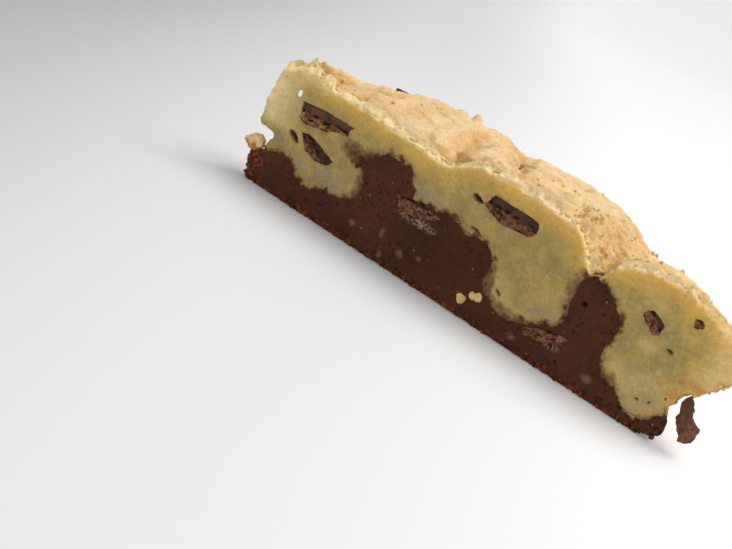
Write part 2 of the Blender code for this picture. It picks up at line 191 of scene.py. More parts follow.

# How much painted shade a pit gets for each mm of its depth, and the pits and slits in the cut: middle in mm
# (x, z), radii in mm, turn in degrees, depth in mm
PIT_SHADE = 2.4
PITS = (
    ((7.8, 13.6), (1.6, 0.55), -30, 2.6),
    ((56.4, 16.4), (2.1, 0.22), -10, 0.9),
    ((81.7, 15.2), (0.6, 0.5), 0, 0.8),
    ((99.1, 15.9), (0.85, 0.35), -12, 0.5),
    ((95.9, 2.5), (0.4, 0.4), 0, 0.6),
    ((97.7, 5.5), (0.45, 0.16), -20, 0.5),
    ((102.2, 8.5), (0.16, 0.5), 10, 0.5),
    ((99.9, 6.1), (0.3, 0.25), 0, 0.4),
    ((101.9, 22.6), (0.9, 0.7), 0, 0.7),
    ((53.6, 22.0), (1.3, 0.50), -20, 1.2),
    ((65.4, 8.4), (0.9, 0.3), -40, 0.5),
    ((44.0, 13.2), (0.3, 0.9), 0, 0.7),
    ((39.0, 14.1), (0.7, 0.25), 0, 0.6),
)

# The chunks in the cut: the turn of their grain in degrees, where their smooth top starts (0 low, 1 high),
# and their tone, which is painted light and shade for how each chunk is lit. The other chunks share one
# entry, and the one in the crust is dusty with dough
CHUNK_GRAIN = {
    "chunk_slab": (3, 0.52, 1.25),
    "chunk_slant": (-32, 0.48, 0.70),
    "chunk_middle": (-2, 0.60, 0.75),
    "chunk_sunken": (4, 0.90, 0.80),
    "chunk_low": (14, 0.85, 0.85),
    "chunk_right": (-40, 0.60, 0.85),
    "chunk_end": (0, 0.70, 1.0),
}
OTHER_GRAIN = (15, 0.6, 1)
DUSTY_CHUNKS = {"chunk_crust": 0.8}
LAYER_THICK = 1.3 * MM

# How wide the crumbs at the tips are at each share of their height
TIP_WAIST = ((0, 0.8), (0.4, 1.0), (1, 0.9))
HANGING_WAIST = ((0, 0.5), (0.15, 1.0), (0.40, 1.15), (0.60, 0.70), (1, 0.60))

# Stray balls of dough on the brownie: middle on the cut in mm (x, z), diameter in mm
DOUGH_BALLS = (((58.9, 3.6), 2.1), ((60.9, 5.3), 1.5), ((62.2, 5.6), 1.7))

# Loose crumbs: how many of each kind, and their least and greatest size
CRUMB_COUNT = 700
DOUGH_CRUMB_SIZES = (0.25 * MM, 1.0 * MM)
BASE_CRUMB_SIZES = (0.25 * MM, 0.9 * MM)

# Masks that are the same all over a small piece
DOUGH_MASKS = {"crust": 0.1, "lip": 0.35, "rind": 0.6, "seam": 9.0}
TIP_MASKS = {"crust": 0.1, "lip": 0.8, "rind": 0.3, "floury": 0.2, "seam": 9.0, "browned": 1}
CRUMB_MASKS = {"crust": 0.5, "lip": 0.2, "rind": 0.6, "seam": 9.0}
BASE_MASKS = {"toasted": 0.7, "seam": -9.0}
HANGING_MASKS = {"toasted": 0.5, "pale": 0.3, "seam": -9.0}

# What the crust and the cut give to a point that isn't on them
NO_CRUST = SimpleNamespace(relief=0, lifted=0, crease=0, shoulder=0, torn=0, crack=0, ochre=0, greyed=0)
NO_CUT = SimpleNamespace(relief=0, pit=0, floury=0, lip=0, holes=0, chalky=0, pale=0)

# Colours of the dough
DOUGH_WARM = (0.47, 0.325, 0.100)
DOUGH_DULL = (0.36, 0.270, 0.092)
DOUGH_PALE = (0.50, 0.40, 0.185)
DOUGH_RIND = (0.76, 0.45, 0.090)
DOUGH_FLOURY = (0.36, 0.29, 0.165)
DOUGH_OCHRE = (0.52, 0.33, 0.05)
# painted shade in the dough's pores
DOUGH_PAINTED_PORE_SHADE = (0.34, 0.22, 0.06)
DOUGH_STAINED = (0.42, 0.22, 0.06)
# painted shade in the pits of the dough's cut
DOUGH_PAINTED_PIT_SHADE = (0.055, 0.028, 0.014)

# Colours of the crust
CRUST_PEACH = (0.82, 0.59, 0.34)
CRUST_TAN = (0.81, 0.55, 0.29)
CRUST_GRAINS = (0.86, 0.69, 0.42)
CRUST_GOLDEN = (0.76, 0.46, 0.16)
# grey for the grey spots; round the chunk in the crust it is painted shade
CRUST_GREYED = (0.42, 0.38, 0.26)
CRUST_OCHRE = (0.50, 0.33, 0.05)
# cream dough, also used as the painted highlight along the rim of the cut
CRUST_CREAM_AND_HIGHLIGHT = (0.95, 0.73, 0.37)
CRUST_BROWNED = (0.60, 0.28, 0.08)

# Colours of the brownie
BROWNIE_DARK = (0.068, 0.023, 0.012)
BROWNIE_WARM = (0.088, 0.027, 0.013)
BROWNIE_FOOT = (0.080, 0.024, 0.011)
BROWNIE_TOASTED = (0.36, 0.095, 0.026)
BROWNIE_PALE = (0.30, 0.19, 0.14)
BROWNIE_CHALKY = (0.42, 0.33, 0.25)
BROWNIE_SPECK = (0.38, 0.26, 0.18)
# painted shade in the brownie's pores
BROWNIE_PAINTED_PORE_SHADE = (0.012, 0.005, 0.004)
# painted shade in the brownie's pits, splits and pores, also used for its darker place
BROWNIE_PAINTED_PIT_SHADE = (0.012, 0.007, 0.006)
BROWNIE_SEAM = (0.30, 0.20, 0.08)

# Colours of the chocolate, where it broke and where it was moulded
BROKEN_DARK = (0.110, 0.040, 0.022)
BROKEN_PALE = (0.34, 0.145, 0.075)
MOULDED_DARK = (0.060, 0.022, 0.012)
MOULDED_PALE = (0.105, 0.038, 0.020)
CHOCOLATE_DUST = (0.66, 0.49, 0.22)
# painted shade in the cracks between the chocolate's layers and along the parting
CHOCOLATE_PAINTED_CRACK_SHADE = (0.012, 0.005, 0.004)


def smooth(t):
    t = min(max(t, 0), 1)
    return t * t * (3 - 2 * t)


def between(low, high, value):
    """0 below low, 1 above high, and a smooth step in between."""
    return smooth((value - low) / (high - low))


def readings(table, place):
    """Straight-line reading of a table of (place, value) pairs."""
    for (low, first), (high, second) in zip(table, table[1:]):
        if place <= high:
            return first + (second - first) * (place - low) / (high - low)
    return table[-1][1]


def on_cut(place):
    """A place in millimetres from the cut's left tip."""
    return (place - TIP) / MM


def rough(place, size, octaves=3):
    """Cloudy roughness of a size, about -1 to 1."""
    return noise.fractal(place / size, 1.0, 2.0, octaves)


def lump(place, size):
    """Rounded crumbs of a size: half a unit at the middle of each, falling to its edges."""
    return 0.5 - noise.voronoi(place / size)[0][0]


def pore(place, size, share):
    """Scattered round pores: 1 at the middle of one, 0 outside them."""
    near, middles = noise.voronoi(place / size)
    if noise.cell(middles[0] * 7.3) > share * 2 - 1:
        return 0
    return smooth(1 - near[0] / 0.42)


def spots(across, along, places):
    """How much a place lies in one of some soft round spots, 0 to 1."""
    most = 0
    for (middle_across, middle_along), (wide, long) in places:
        if abs(across - middle_across) < wide * 2 and abs(along - middle_along) < long * 2:
            away = math.hypot((across - middle_across) / wide, (along - middle_along) / long)
            most = max(most, 1 - between(0.3, 1.3, away))
    return most


def knob_height(x, y):
    """How far the standing crumbs raise the crust at a place, in mm."""
    raised = 0
    for (middle_x, middle_y), radius, height in KNOBS:
        away = math.hypot(x - middle_x, y - middle_y) / radius
        if away < 1:
            raised = max(raised, height * smooth(1.3 * (1 - away)))
    return raised


def pit_depth(x, z):
    """How deep the cut is pitted at a place, in mm."""
    sunk = 0
    for (middle_x, middle_z), (wide, tall), turn, depth in PITS:
        if abs(x - middle_x) < 3 * wide + tall and abs(z - middle_z) < 3 * tall + wide:
            turned = Vector((x - middle_x, z - middle_z))
            turned.rotate(Matrix.Rotation(math.radians(-turn), 2))
            away = math.hypot(turned.x / wide, turned.y / tall)
            sunk = max(sunk, depth * (1 - between(0.4, 1.2, away)))
    return sunk


def plate(x, y):
    """How far a place is from the nearest crack between the crust's plates in mm, and its plate's level."""
    near, middles = noise.voronoi(Vector((x, y, 4.0)) / PLATE)
    return (near[1] - near[0]) * PLATE, noise.cell(middles[0] * 3.1)


def fold_offset(x, y):
    """How far a place is from the nearest fold of the crust, below 0 on the fold's left."""
    here = Vector((x, y))
    nearest = math.inf
    for line in FOLDS:
        for start, end in zip(line, line[1:]):
            a = Vector(start)
            run = Vector(end) - a
            along = min(max((here - a).dot(run) / run.length_squared, 0), 1)
            off = here - a - run * along
            if off.length < abs(nearest):
                nearest = math.copysign(off.length, run.cross(off) * -1)
    return nearest


def new_object(name, data):
    """A new object in the scene."""
    made = bpy.data.objects.new(name, data)
    bpy.context.scene.collection.objects.link(made)
    return made


def new_piece(name, bm):
    """A new piece made of a bmesh."""
    piece = new_object(name, bpy.data.meshes.new(name))
    put_back(piece, bm)
    return piece


def put_back(piece, bm):
    """Writes a bmesh into its piece."""
    bm.to_mesh(piece.data)
    bm.free()


def welded(node):
    """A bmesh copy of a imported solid, with its loose triangles joined."""
    bm = bmesh.new()
    bm.from_mesh(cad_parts[node].data)
    bmesh.ops.remove_doubles(bm, verts=bm.verts, dist=WELD)
    return bm


def tree_of(nodes):
    """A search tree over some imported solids."""
    joined = bmesh.new()
    for node in nodes:
        joined.from_mesh(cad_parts[node].data)
    tree = BVHTree.FromBMesh(joined)
    joined.free()
    return tree


def apply_modifiers(piece):
    """Gives a piece the mesh that its modifiers make."""
    view = bpy.context.evaluated_depsgraph_get()
    old = piece.data
    piece.data = bpy.data.meshes.new_from_object(piece.evaluated_get(view))
    piece.modifiers.clear()
    bpy.data.meshes.remove(old)


def fine_copy(node, name, fineness, softenings):
    """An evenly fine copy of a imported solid, softened, as a piece and its bmesh."""
    piece = new_piece(name, welded(node))
    even = piece.modifiers.new("even crumb", "REMESH")
    even.mode = "VOXEL"
    even.voxel_size = fineness
    apply_modifiers(piece)
    bm = bmesh.new()
    bm.from_mesh(piece.data)
    for _ in range(softenings):
        soften(bm)
    bm.normal_update()
    return piece, bm


def soften(bm):
    """Evens out a bmesh a little."""
    bmesh.ops.smooth_vert(
        bm, verts=bm.verts, factor=0.5, use_axis_x=True, use_axis_y=True, use_axis_z=True,
    )


def refine_cut(bm):
    """Splits the faces of the cut once more, since it is looked at most."""
    front = [
        face for face in bm.faces
        if face.normal.y < -0.2 and all(v.co.y < TIP.y + CUT_DEPTH for v in face.verts)
    ]
    edges = list({edge for face in front for edge in face.edges})
    bmesh.ops.subdivide_edges(bm, edges=edges, cuts=1, use_grid_fill=True)
    bm.normal_update()


def move_to(bm, places):
    """Moves the points of a bmesh to new places."""
    for vertex, place in zip(bm.verts, places):
        vertex.co = place
    bm.normal_update()


def clinging_places(bm, shares):
    """Where crumbs may cling: each point's place and normal, and how crumbly the food is there."""
    return [(vertex.co.copy(), vertex.normal.copy(), share) for vertex, share in zip(bm.verts, shares)]


def add_shares(masks, shares):
    """Adds one point's share of each mask to the masks."""
    for name, share in shares.items():
        masks.setdefault(name, []).append(share)


def write_masks(piece, masks):
    """Gives a piece its masks, each with one value for each of its points, or one value for them all."""
    for name, values in masks.items():
        if not isinstance(values, list):
            values = [values] * len(piece.data.vertices)
        piece.data.attributes.new(name, "FLOAT", "POINT").data.foreach_set("value", values)


def finish_piece(piece, masks, material, nodes):
    """Gives a piece its masks and material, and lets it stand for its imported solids."""
    write_masks(piece, masks)
    piece.data.shade_smooth()
    piece.data.materials.clear()
    piece.data.materials.append(material)
    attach(piece, "root")
    if nodes:
        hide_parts(*nodes)


# Node helpers

def plug(tree, value, socket):
    """Gives a socket its value: another socket, a number, a vector, or a colour as a tuple."""
    if isinstance(value, bpy.types.NodeSocket):
        tree.links.new(value, socket)
    elif isinstance(value, tuple):
        socket.default_value = (*value, 1)
    else:
        socket.default_value = value


def give(tree, node, values):
    """Gives a node's inputs their values."""
    for name, value in values.items():
        plug(tree, value, node.inputs[name])


def add_node(tree, kind, values):
    """A new shader node with the values of its inputs."""
    node = tree.nodes.new("ShaderNode" + kind)
    give(tree, node, values)
    return node


def mixed(tree, share, first, second, blend="MIX"):
    """Mixes two colours, each a socket or a colour, and gives the result's socket."""
    node = tree.nodes.new("ShaderNodeMix")
    node.data_type = "RGBA"
    node.blend_type = blend
    for name, value in (("Factor_Float", share), ("A_Color", first), ("B_Color", second)):
        plug(tree, value, next(s for s in node.inputs if s.identifier == name))
    return next(s for s in node.outputs if s.identifier == "Result_Color")


def sums(tree, operation, first, second=0.0):
    """One sum of two numbers, each a socket or a number, and gives the result's socket."""
    node = add_node(tree, "Math", {0: first, 1: second})
    node.operation = operation
    return node.outputs[0]


def times(tree, first, second):
    return sums(tree, "MULTIPLY", first, second)


def stretched(tree, value, low, high, to_low=0.0, to_high=1.0):
    """Carries a number smoothly from one range to another, held inside it."""
    ranges = {"From Min": low, "From Max": high, "To Min": to_low, "To Max": to_high}
    node = add_node(tree, "MapRange", {"Value": value, **ranges})
    node.interpolation_type = "SMOOTHSTEP"
    return node.outputs["Result"]


def mask(tree, name):
    """A mask that the carving left on the mesh."""
    node = tree.nodes.new("ShaderNodeAttribute")
    node.attribute_name = name
    return node.outputs["Fac"]


def food_place(tree):
    """The place on the food that patterns follow."""
    return tree.nodes.new("ShaderNodeTexCoord").outputs["Object"]


def cloud(tree, place, size, detail=3.0, roughness=0.55):
    """Cloudy noise of a size in metres, about 0.3 to 0.7."""
    pattern = {"Vector": place, "Scale": 1 / size, "Detail": detail, "Roughness": roughness}
    return add_node(tree, "TexNoise", pattern).outputs["Fac"]


def shaded(tree, colour, tone):
    """Darkens or lightens a colour by a tone."""
    grey = add_node(tree, "CombineColor", {"Red": tone, "Green": tone, "Blue": tone})
    return mixed(tree, 1.0, colour, grey.outputs["Color"], "MULTIPLY")


def new_group(name, inputs, outputs):
    """A shader node group with number inputs and named outputs: its tree, given values and output sockets."""
    tree = bpy.data.node_groups.new(name, "ShaderNodeTree")
    for socket_name, value in inputs.items():
        socket = tree.interface.new_socket(socket_name, in_out="INPUT", socket_type="NodeSocketFloat")
        socket.default_value = value
    for socket_name, kind in outputs.items():
        tree.interface.new_socket(socket_name, in_out="OUTPUT", socket_type=kind)
    given = tree.nodes.new("NodeGroupInput").outputs
    out = tree.nodes.new("NodeGroupOutput").inputs
    return tree, given, out


def placed(tree, group, values):
    """Places a group in a material with its own values, and gives its outputs."""
    node = tree.nodes.new("ShaderNodeGroup")
    node.node_tree = group
    give(tree, node, values)
    return node.outputs


def build_crumb_group():
    """Fine baked crumb: a tone that varies over the surface, pale specks, pores that the materials give
    painted shade, and a height.
    """
    numbers = {name: "NodeSocketFloat" for name in ("Tone", "Specks", "Pores", "Height")}
    sizes = {"Grain Size": 0.5 * MM, "Speck Size": 1.4 * MM, "Speck Reach": 0.2}
    tree, given, out = new_group("fine crumb", sizes, numbers)
    place = food_place(tree)
    scale = sums(tree, "DIVIDE", 1.0, given["Grain Size"])
    grain = add_node(tree, "TexNoise", {"Vector": place, "Scale": scale, "Detail": 4, "Roughness": 0.6})
    fine = times(tree, grain.outputs["Fac"], 0.6)
    wide = times(tree, cloud(tree, place, 6 * MM), 0.4)
    tree.links.new(sums(tree, "ADD", fine, wide), out["Tone"])

    scale = sums(tree, "DIVIDE", 1.0, given["Speck Size"])
    speck = add_node(tree, "TexVoronoi", {"Vector": place, "Scale": scale})
    chosen = add_node(tree, "SeparateColor", {"Color": speck.outputs["Color"]})
    reach = times(tree, given["Speck Reach"], sums(tree, "ADD", chosen.outputs["Green"], 0.5))
    inside = sums(tree, "LESS_THAN", speck.outputs["Distance"], reach)
    bright = sums(tree, "GREATER_THAN", chosen.outputs["Red"], 0.80)
    dark = sums(tree, "LESS_THAN", chosen.outputs["Red"], 0.16)
    tree.links.new(times(tree, inside, bright), out["Specks"])
    pores = times(tree, inside, dark)
    tree.links.new(pores, out["Pores"])
    tree.links.new(sums(tree, "SUBTRACT", grain.outputs["Fac"], pores), out["Height"])
    return tree


def build_marbling_group():
    """How much of a place near the seam is brownie: ragged along the seam, soft where it smears."""
    numbers = {name: "NodeSocketFloat" for name in ("Brownie Share", "Stain")}
    tree, given, out = new_group("marbling", {"Seam": 0.0, "Smear": 0.0}, numbers)
    place = food_place(tree)
    wide = times(tree, sums(tree, "SUBTRACT", cloud(tree, place, 1.7 * MM, 2), 0.5), 2.8)
    fine = times(tree, sums(tree, "SUBTRACT", cloud(tree, place, 0.5 * MM, 2), 0.5), 0.4)
    reach = sums(tree, "ADD", times(tree, given["Smear"], 0.5), 0.75)
    wander = times(tree, sums(tree, "ADD", wide, fine), reach)
    width = sums(tree, "ADD", times(tree, given["Smear"], 1.7), 0.36)
    off = sums(tree, "SUBTRACT", wander, given["Seam"])
    tree.links.new(stretched(tree, sums(tree, "DIVIDE", off, width), -1, 1), out["Brownie Share"])
    tree.links.new(stretched(tree, off, -1.1, 0.2), out["Stain"])
    return tree


def build_dough_group():
    """Baked dough as the cut shows it: mottled, yellow under the crust, floury in places."""
    masks = {"Rind": 0.0, "Floury": 0.0, "Ochre": 0.0}
    tree, given, out = new_group("dough", masks, {"Color": "NodeSocketColor"})
    place = food_place(tree)
    patches = stretched(tree, cloud(tree, place, 4 * MM), 0.38, 0.62)
    colour = mixed(tree, patches, DOUGH_WARM, DOUGH_DULL)
    blotches = stretched(tree, cloud(tree, place, 1.5 * MM, 4, 0.65), 0.50, 0.66, 0.0, 0.45)
    colour = mixed(tree, blotches, colour, DOUGH_PALE)
    colour = mixed(tree, given["Rind"], colour, DOUGH_RIND)
    floury = stretched(tree, cloud(tree, place, 1.6 * MM, 4, 0.65), 0.36, 0.56, 0.40)
    colour = mixed(tree, times(tree, given["Floury"], floury), colour, DOUGH_FLOURY)
    colour = mixed(tree, given["Ochre"], colour, DOUGH_OCHRE)
    tree.links.new(colour, out["Color"])
    return tree


def build_brownie_group():
    """Dark moist crumb with a reddish crumbly edge at its base."""
    tree, given, out = new_group("brownie crumb", {"Toasted": 0.0}, {"Color": "NodeSocketColor"})
    place = food_place(tree)
    patches = stretched(tree, cloud(tree, place, 7 * MM, 2), 0.38, 0.62)
    dark = mixed(tree, patches, BROWNIE_DARK, BROWNIE_WARM)
    crumbs = stretched(tree, cloud(tree, place, 0.9 * MM, 4, 0.7), 0.44, 0.60)
    edge = mixed(tree, crumbs, BROWNIE_FOOT, BROWNIE_TOASTED)
    tree.links.new(mixed(tree, given["Toasted"], dark, edge), out["Color"])
    return tree


CRUMB = build_crumb_group()
MARBLING = build_marbling_group()
DOUGH = build_dough_group()
BROWNIE_CRUMB = build_brownie_group()


def plain_material(name):
    """A new material: itself, its tree and its shader."""
    material = bpy.data.materials.new(name)
    material.use_nodes = True
    return material, material.node_tree, material.node_tree.nodes["Principled BSDF"]


def food_material(name, grain, speck, reach):
    """A material with the fine crumb in it: itself, its tree, its shader and the crumb's outputs."""
    material, tree, shader = plain_material(name)
    crumb = placed(tree, CRUMB, {"Grain Size": grain, "Speck Size": speck, "Speck Reach": reach})
    return material, tree, shader, crumb


def add_bump(tree, shader, height, strength, distance):
    """Gives a shader the relief that is too fine for the mesh."""
    bump = add_node(tree, "Bump", {"Height": height, "Strength": strength, "Distance": distance})
    plug(tree, bump.outputs["Normal"], shader.inputs["Normal"])


def cookie_material():
    """Pale dough with a yellow rind under a peach-tan crust, browner on its ridges and rims."""
    material, tree, shader, crumb = food_material("baked cookie", 0.7 * MM, 1.5 * MM, 0.10)
    place = food_place(tree)
    given = {"Rind": mask(tree, "rind"), "Floury": mask(tree, "floury"), "Ochre": mask(tree, "ochre")}
    dough = placed(tree, DOUGH, given)["Color"]
    patches = stretched(tree, cloud(tree, place, 6 * MM), 0.35, 0.65)
    crust = mixed(tree, patches, CRUST_PEACH, CRUST_TAN)
    grains = stretched(tree, cloud(tree, place, 0.8 * MM, 3, 0.7), 0.50, 0.64, 0.0, 0.7)
    crust = mixed(tree, grains, crust, CRUST_GRAINS)
    # the grey spot round the chunk in the crust is painted shade
    for name, tint in (("golden", CRUST_GOLDEN), ("greyed", CRUST_GREYED), ("ochre", CRUST_OCHRE)):
        crust = mixed(tree, mask(tree, name), crust, tint)
    colour = mixed(tree, mask(tree, "crust"), dough, crust)
    # the lip carries cream dough and a painted highlight along the rim of the cut
    for name, tint in (("lip", CRUST_CREAM_AND_HIGHLIGHT), ("browned", CRUST_BROWNED)):
        colour = mixed(tree, mask(tree, name), colour, tint)
    tone = stretched(tree, crumb["Tone"], 0.35, 0.65, 0.87, 1.09)
    colour = shaded(tree, colour, tone)
    # painted shade in the pores
    colour = mixed(tree, times(tree, crumb["Pores"], 0.12), colour, DOUGH_PAINTED_PORE_SHADE)
    seam = placed(tree, MARBLING, {"Seam": mask(tree, "seam"), "Smear": mask(tree, "smear")})
    colour = mixed(tree, times(tree, seam["Stain"], 0.35), colour, DOUGH_STAINED)
    brownie = placed(tree, BROWNIE_CRUMB, {"Toasted": mask(tree, "browned")})["Color"]
    colour = mixed(tree, seam["Brownie Share"], colour, brownie)
    # painted shade in the pits, darker the deeper they are
    colour = mixed(tree, mask(tree, "painted_pit_shade_and_dark_place"), colour, DOUGH_PAINTED_PIT_SHADE)
    give(tree, shader, {
        "Base Color": colour,
        "Roughness": stretched(tree, crumb["Tone"], 0.3, 0.7, 0.62, 0.85),
        "Subsurface Weight": 0.12,
        "Subsurface Radius": Vector((1.0, 0.6, 0.25)),
        "Subsurface Scale": 1.2 * MM,
        "Specular IOR Level": 0.25,
    })
    add_bump(tree, shader, crumb["Height"], 0.7, 0.35 * MM)
    return material


def brownie_material():
    """Dark moist crumb with fine specks and pores, pale soft spots and chalky streaks."""
    material, tree, shader, crumb = food_material("dark brownie", 0.6 * MM, 0.95 * MM, 0.13)
    place = food_place(tree)
    dark = placed(tree, BROWNIE_CRUMB, {"Toasted": mask(tree, "toasted")})["Color"]
    tone = stretched(tree, crumb["Tone"], 0.35, 0.65, 0.80, 1.18)
    colour = shaded(tree, dark, tone)
    colour = mixed(tree, times(tree, mask(tree, "pale"), 0.5), colour, BROWNIE_PALE)
    dust = stretched(tree, cloud(tree, place, 0.6 * MM, 4, 0.7), 0.44, 0.58)
    colour = mixed(tree, times(tree, mask(tree, "chalky"), dust), colour, BROWNIE_CHALKY)
    colour = mixed(tree, times(tree, crumb["Specks"], 0.6), colour, BROWNIE_SPECK)
    # painted shade in the pores
    colour = mixed(tree, times(tree, crumb["Pores"], 0.85), colour, BROWNIE_PAINTED_PORE_SHADE)
    seam = placed(tree, MARBLING, {"Seam": mask(tree, "seam"), "Smear": mask(tree, "smear")})
    dough = placed(tree, DOUGH, {"Floury": mask(tree, "floury")})["Color"]
    dough = mixed(tree, times(tree, seam["Stain"], 0.30), dough, BROWNIE_SEAM)
    colour = mixed(tree, seam["Brownie Share"], dough, colour)
    # painted shade in pits, splits and pores, and the darker place
    colour = mixed(tree, mask(tree, "painted_pit_shade_and_dark_place"), colour, BROWNIE_PAINTED_PIT_SHADE)
    roughness = stretched(tree, crumb["Tone"], 0.3, 0.7, 0.52, 0.78)
    give(tree, shader, {"Base Color": colour, "Roughness": roughness, "Specular IOR Level": 0.10})
    add_bump(tree, shader, crumb["Height"], 0.6, 0.30 * MM)
    return material


def chocolate_material():
    """Dark chocolate: smooth where it was moulded, lighter and crumbly where it broke."""
    material, tree, shader, crumb = food_material("broken chocolate", 0.35 * MM, 0.8 * MM, 0.15)
    place = food_place(tree)
    crumbs = stretched(tree, cloud(tree, place, 0.9 * MM, 4, 0.65), 0.38, 0.62)
    broken = mixed(tree, crumbs, BROKEN_DARK, BROKEN_PALE)
    patches = stretched(tree, cloud(tree, place, 2.0 * MM), 0.40, 0.62)
    whole = mixed(tree, patches, MOULDED_DARK, MOULDED_PALE)
    # the chunk's tone is painted light and shade for how it is lit
    colour = shaded(tree, mixed(tree, mask(tree, "broken"), whole, broken), mask(tree, "tone"))
    dust = stretched(tree, cloud(tree, place, 0.7 * MM, 4, 0.7), 0.34, 0.50)
    colour = mixed(tree, times(tree, mask(tree, "dusty"), dust), colour, CHOCOLATE_DUST)
    # painted shade in the cracks and along the parting
    colour = mixed(tree, mask(tree, "painted_crack_shade"), colour, CHOCOLATE_PAINTED_CRACK_SHADE)
    roughness = stretched(tree, mask(tree, "broken"), 0, 1, 0.42, 0.80)
    give(tree, shader, {"Base Color": colour, "Roughness": roughness, "Specular IOR Level": 0.18})
    add_bump(tree, shader, crumb["Height"], 0.5, 0.20 * MM)
    return material


COOKIE = cookie_material()
BROWNIE = brownie_material()
CHOCOLATE = chocolate_material()


# The two layers

def reach_for(others, place, reach):
    """The distance to another food in mm, how near it counts as, and the shift that closes the gap to it."""
    found, _, _, distance = others.find_nearest(place, reach)
    if found is None or distance < WELD:
        return reach / MM, 0, Vector()
    near = smooth(1.25 * (1 - distance / TOUCH))
    way = (found - place) / distance
    return distance / MM, near, way * (distance + LAP) * near


def brought_forward(place, near):
    """A point of a rounded edge of the cut, brought level with the cut where another food touches it."""
    behind = place.y - TIP.y
    level = near * (1 - between(0.5, 1.1, behind / MM)) * 0.85
    return Vector((0, (CUT_LEVEL - behind) * level, 0))


def rolled_over(y, under):
    """How the crust's edge at the cut is rolled down and back, for a place this far behind and under it."""
    down = max(1 - under / ROLL_DOWN, 0) ** 2 * (1 - between(0.2, 2.4, y))
    back = max(1 - max(y, 0) / ROLL_BACK, 0) ** 2 * (1 - between(0.2, 2.4, under))
    return Vector((0, ROLL * down, -ROLL * 0.6 * back)) * MM


def cut_share(normal, y):
    """How much a point belongs to the face of the cut."""
    return smooth(-normal.y * 1.6 - 0.2) * (1 - between(0.8, 2.0, y))


def pinhole_offset(x, y, z):
    """Where a place is beside the small hole through the left tip."""
    off = Vector((x, y, z)) - PINHOLE
    return off - PINHOLE_WAY * off.dot(PINHOLE_WAY)


def open_pinhole(piece):
    """Opens the small hole through the left tip again, which the even mesh is too coarse for."""
    lean = PINHOLE_WAY.to_track_quat("Z", "Y").to_matrix().to_4x4()
    slit = Matrix.Diagonal((0.7, 1.3, 1, 1))
    bm = bmesh.new()
    bmesh.ops.create_cone(
        bm, cap_ends=True, segments=12, radius1=PINHOLE_RADIUS, radius2=PINHOLE_RADIUS, depth=PINHOLE_LENGTH,
        matrix=Matrix.Translation(TIP + PINHOLE * MM) @ lean @ slit,
    )
    cutter = new_piece("pinhole", bm)
    write_masks(cutter, DOUGH_MASKS)
    hole = piece.modifiers.new("pinhole", "BOOLEAN")
    hole.object = cutter
    hole.solver = "MANIFOLD"
    apply_modifiers(piece)
    bpy.data.objects.remove(cutter)


def chunk_nodes():
    return sorted(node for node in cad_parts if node.startswith("chunk"))


def dough_spot(place, normal, own):
    """A point of the dough: its place and depth under the crust in mm, and its share of each zone."""
    x, y, z = on_cut(place)
    probe = Vector((place.x, max(place.y, TIP.y + PROBE_BEHIND), PROBE_HEIGHT))
    above = own.ray_cast(probe, Vector((0, 0, -1)))[0]
    under = (above.z - place.z) / MM if above else 2
    front = cut_share(normal, y)
    skin = between(0.25, 0.6, normal.z) * (1 - between(0.7, 1.4, under))
    side = (1 - front) * between(0.5, 1.5, y) * (1 - skin)
    rim = between(0.1, 0.5, math.hypot(normal.x, normal.y)) * skin * between(1.0, 3.0, y)
    end = max(spots(x, z, BROWNED) * front, between(100, 104, x) * between(0.1, 0.6, -normal.z))
    low = rough(place, 6 * MM)
    return SimpleNamespace(
        place=place, x=x, y=y, z=z, under=under, front=front, skin=skin, side=side, rim=rim, end=end,
        low=low, blotch=0.5 + 0.5 * low,
    )


def crust_at(spot):
    """The folds, plates, tears and crumbs of the crust at a point, and its relief and lift in mm."""
    place = spot.place
    skin = spot.skin
    warped = place + Vector((spot.low, rough(place + TIP, 4 * MM), 0)) * 1.2 * MM
    x, y, _ = on_cut(warped)
    fold = fold_offset(x, y)
    behind_rim = skin * between(0.6, 2.4, spot.y)
    crease = math.exp(-(fold / 0.55) ** 2) * behind_rim
    shoulder = math.exp(-((fold - 1.4) / 1.0) ** 2) * behind_rim
    ragged = 0.35 * rough(place, 3 * MM)
    torn = min(1, max(0, spots(x, y, TEARS) * 1.6 - 0.4 + ragged)) * skin
    split, level = plate(x + 0.8 * ragged, y)
    crack = (1 - between(0.1, 1.0, split)) * between(-0.25, 0.15, rough(place, 9 * MM)) * skin

    wrinkle = 0.5 - abs(rough(place, 4.5 * MM, 2))
    relief = skin * (0.16 * wrinkle + 0.30 * rough(place, 2.2 * MM, 4) + 0.22 * lump(place, 1.5 * MM))
    relief += skin * 0.40 * level * between(0, 1.6, split) - 0.55 * crack
    relief += 0.25 * shoulder - 0.8 * crease - 0.9 * spots(spot.x, spot.y, OCHRE) * skin
    relief += torn * (0.8 * lump(place, 2.6 * MM) + 0.5 * rough(place, 1.1 * MM))
    ochre = max(spots(x, y, OCHRE), crease * 0.7, crack * 0.35)
    return SimpleNamespace(
        relief=relief, lifted=knob_height(x, y) * skin, crease=crease, shoulder=shoulder, torn=torn,
        crack=crack, ochre=ochre, greyed=spots(x, y, GREY_SPOTS),
    )


def dough_cut_at(spot):
    """The pits, flour and lip of the dough's cut at a point, and its relief in mm. The lip is the band under
    the crust that gets a painted highlight.
    """
    place = spot.place
    front = spot.front
    floury = spots(spot.x, spot.z, FLOURY) * front
    lip = front * math.exp(-((spot.under - 0.3) / (3.4 - 2.2 * between(5, 16, spot.x))) ** 2)
    relief = front * (0.24 * rough(place, 2.8 * MM) + 0.10 * lump(place, 1.3 * MM))
    relief -= front * 0.35 * pore(place, 2.2 * MM, 0.25)
    relief += floury * 0.35 * rough(place, 0.9 * MM) + lip * 0.35 * rough(place, 1.4 * MM)
    return SimpleNamespace(relief=relief, pit=pit_depth(spot.x, spot.z) * front, floury=floury, lip=lip)


